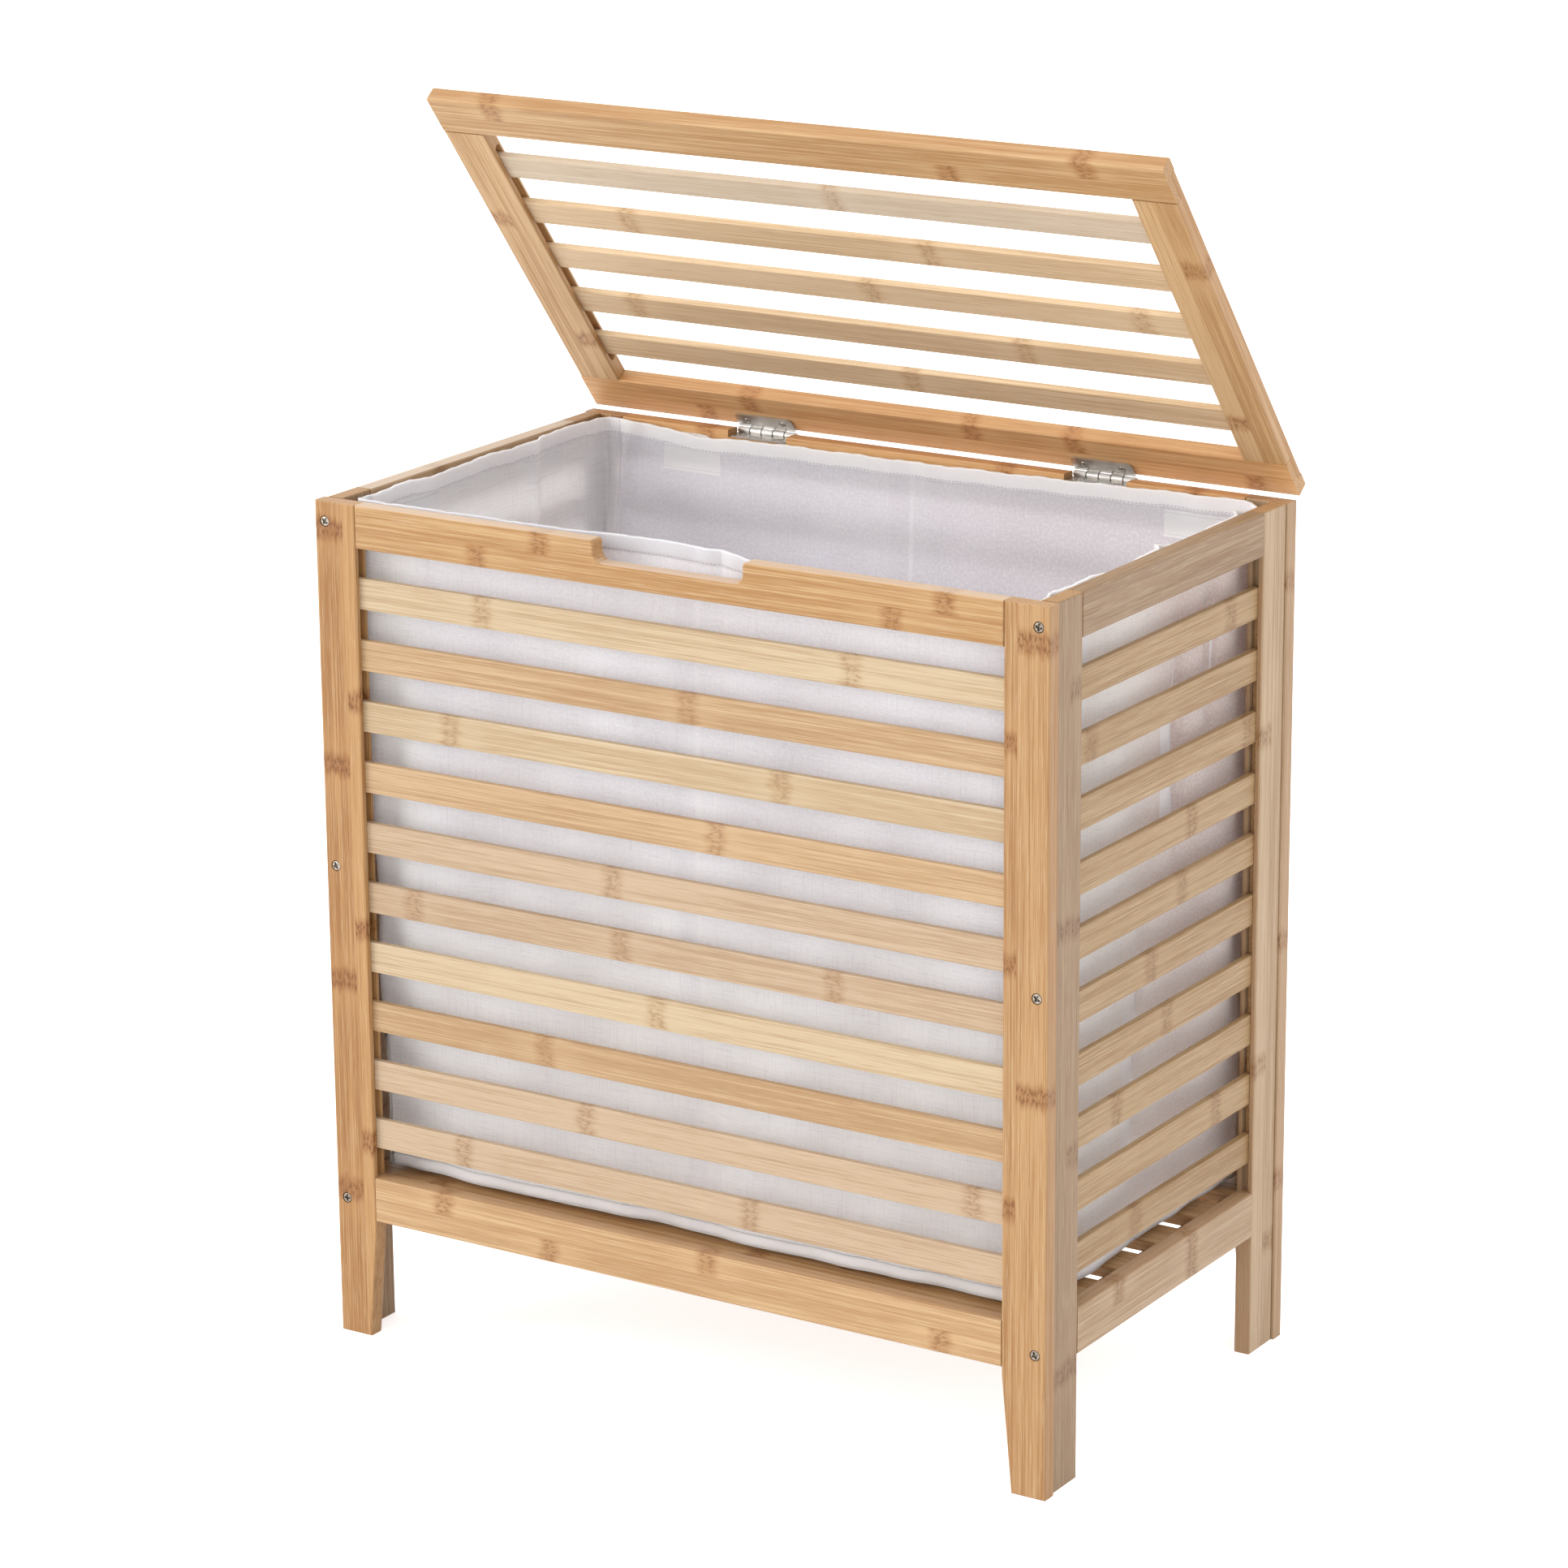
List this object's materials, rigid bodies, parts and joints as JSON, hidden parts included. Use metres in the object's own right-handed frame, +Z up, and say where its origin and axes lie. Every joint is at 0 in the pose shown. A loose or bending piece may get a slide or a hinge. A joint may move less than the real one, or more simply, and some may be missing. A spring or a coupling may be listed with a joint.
{
  "type": "laundry hamper",
  "caption": "Slatted wooden laundry hamper on four legs, with a hinged slatted lid, a hand notch in the front rail and a removable cloth liner.",
  "frame": {"origin": "on the floor under the middle of the whole part, its lid standing open as in the picture", "axes": "+X to the hamper's right seen from the front, +Y from front to back, +Z up"},
  "size_m": [0.607, 0.3684, 0.9151],
  "materials": {
    "bamboo": "clear satin lacquer over caramel bamboo strips",
    "pale_bamboo": "clear satin lacquer over paler bamboo strips",
    "nickel": "nickel plated steel",
    "zinc": "zinc plated steel",
    "cotton": "plain woven undyed cotton and linen cloth"
  },
  "bodies": {
    "cabinet": {"front_post_left": "bamboo", "front_post_right": "bamboo", "back_post_left": "bamboo", "back_post_right": "bamboo", "front_top_rail": "bamboo", "front_bottom_rail": "bamboo", "back_top_rail": "bamboo", "back_bottom_rail": "bamboo", "left_top_rail": "bamboo", "left_bottom_rail": "bamboo", "right_top_rail": "bamboo", "right_bottom_rail": "bamboo", "left_front_stile": "bamboo", "left_back_stile": "bamboo", "right_front_stile": "bamboo", "right_back_stile": "bamboo", "base_board_01": "bamboo", "base_board_02": "bamboo", "base_board_03": "bamboo", "base_board_04": "bamboo", "base_board_05": "bamboo", "base_board_06": "bamboo", "base_cleat_left": "bamboo", "base_cleat_right": "bamboo", "front_slat_01": "pale_bamboo", "front_slat_02": "pale_bamboo", "front_slat_03": "pale_bamboo", "front_slat_04": "pale_bamboo", "front_slat_05": "pale_bamboo", "front_slat_06": "pale_bamboo", "front_slat_07": "pale_bamboo", "front_slat_08": "pale_bamboo", "front_slat_09": "pale_bamboo", "front_slat_10": "pale_bamboo", "back_slats": "pale_bamboo", "left_slats": "pale_bamboo", "right_slats": "pale_bamboo", "frame_screw_left_1": "zinc", "frame_screw_left_2": "zinc", "frame_screw_left_3": "zinc", "frame_screw_right_1": "zinc", "frame_screw_right_2": "zinc", "frame_screw_right_3": "zinc", "liner_bag": "cotton", "hinge_leaf_lower_left": "nickel", "hinge_leaf_lower_right": "nickel", "hinge_pin_left": "nickel", "hinge_pin_right": "nickel"},
    "lid": {"lid_front_rail": "bamboo", "lid_back_rail": "bamboo", "lid_stile_left": "bamboo", "lid_stile_right": "bamboo", "lid_slat_01": "pale_bamboo", "lid_slat_02": "pale_bamboo", "lid_slat_03": "pale_bamboo", "lid_slat_04": "pale_bamboo", "lid_slat_05": "pale_bamboo", "hinge_leaf_upper_left": "nickel", "hinge_leaf_upper_right": "nickel"}
  },
  "joints": [
    {"name": "lid_hinge", "type": "hinge", "parent": "cabinet", "child": "lid", "pos_m": [0, 0.17496, 0.6373], "axis": [-1, 0, 0], "range_deg": [-51.6, 143.4]}
  ]
}
